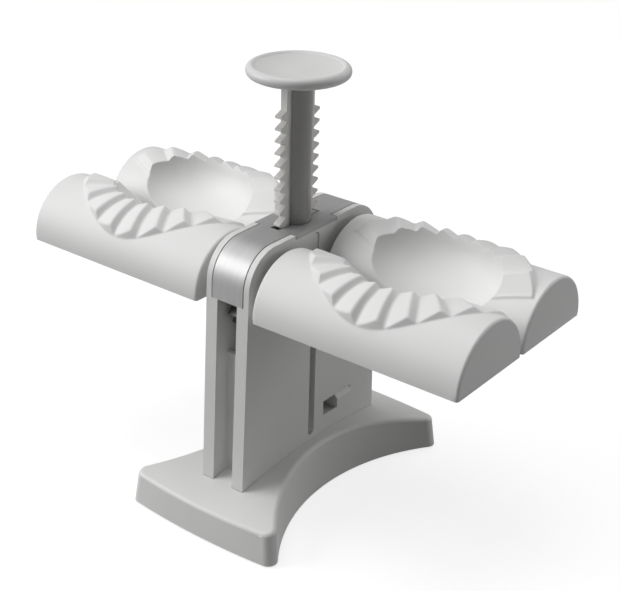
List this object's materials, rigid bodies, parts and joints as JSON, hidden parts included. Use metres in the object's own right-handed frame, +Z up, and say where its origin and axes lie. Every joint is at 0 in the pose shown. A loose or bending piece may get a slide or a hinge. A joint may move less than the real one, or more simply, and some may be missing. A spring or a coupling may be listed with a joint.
{
  "type": "hand press dumpling maker",
  "caption": "Free-standing hand press whose toothed plunger turns paired half-round moulds with shallow bowls and pleated rims to fold and crimp dumplings.",
  "frame": {"origin": "on the table under the middle of the column", "axes": "+X along the moulds to the right, +Y to the back, +Z up along the plunger"},
  "size_m": [0.27, 0.1584, 0.2337],
  "materials": {
    "mould_plastic": "satin",
    "body_plastic": "satin",
    "rod_plastic": "satin",
    "cover_metal": "satin",
    "gear_plastic": "satin",
    "bush_plastic": "matte",
    "steel": "satin",
    "rubber": "matte"
  },
  "bodies": {
    "stand": {"base_plate": "body_plastic", "rubber_feet": "rubber", "plug_screws": "steel", "column_plug": "body_plastic", "left_side_plate": "body_plastic", "right_side_plate": "body_plastic", "front_web": "body_plastic", "back_web": "body_plastic", "column_spacers": "body_plastic", "column_screws": "steel", "slot_stops": "body_plastic", "saddle_cover": "cover_metal", "shaft_bushes": "bush_plastic"},
    "plunger": {"plunger_rod": "rod_plastic", "front_rack": "gear_plastic", "back_rack": "gear_plastic", "guide_pin": "steel", "press_knob": "mould_plastic"},
    "front_roller": {"front_shaft": "steel", "front_pinion": "gear_plastic", "front_collars": "bush_plastic", "left_front_mould": "mould_plastic", "right_front_mould": "mould_plastic", "left_front_floor": "mould_plastic", "right_front_floor": "mould_plastic"},
    "back_roller": {"back_shaft": "steel", "back_pinion": "gear_plastic", "back_collars": "bush_plastic", "left_back_mould": "mould_plastic", "right_back_mould": "mould_plastic", "left_back_floor": "mould_plastic", "right_back_floor": "mould_plastic"}
  },
  "joints": [
    {"name": "plunger_slide", "type": "slide", "parent": "stand", "child": "plunger", "axis": [0, 0, -1], "range_m": [0, 0.05341]},
    {"name": "front_roll", "type": "hinge", "parent": "stand", "child": "front_roller", "pos_m": [0, -0.0305, 0.1225], "axis": [1, 0, 0], "range_deg": [-180, 0]},
    {"name": "back_roll", "type": "hinge", "parent": "stand", "child": "back_roller", "pos_m": [0, 0.0305, 0.1225], "axis": [1, 0, 0], "range_deg": [0, 180]}
  ],
  "couplings": [
    {"joint": "front_roll", "follows": "plunger_slide", "rad_per_m": -58.824},
    {"joint": "back_roll", "follows": "plunger_slide", "rad_per_m": 58.824}
  ]
}
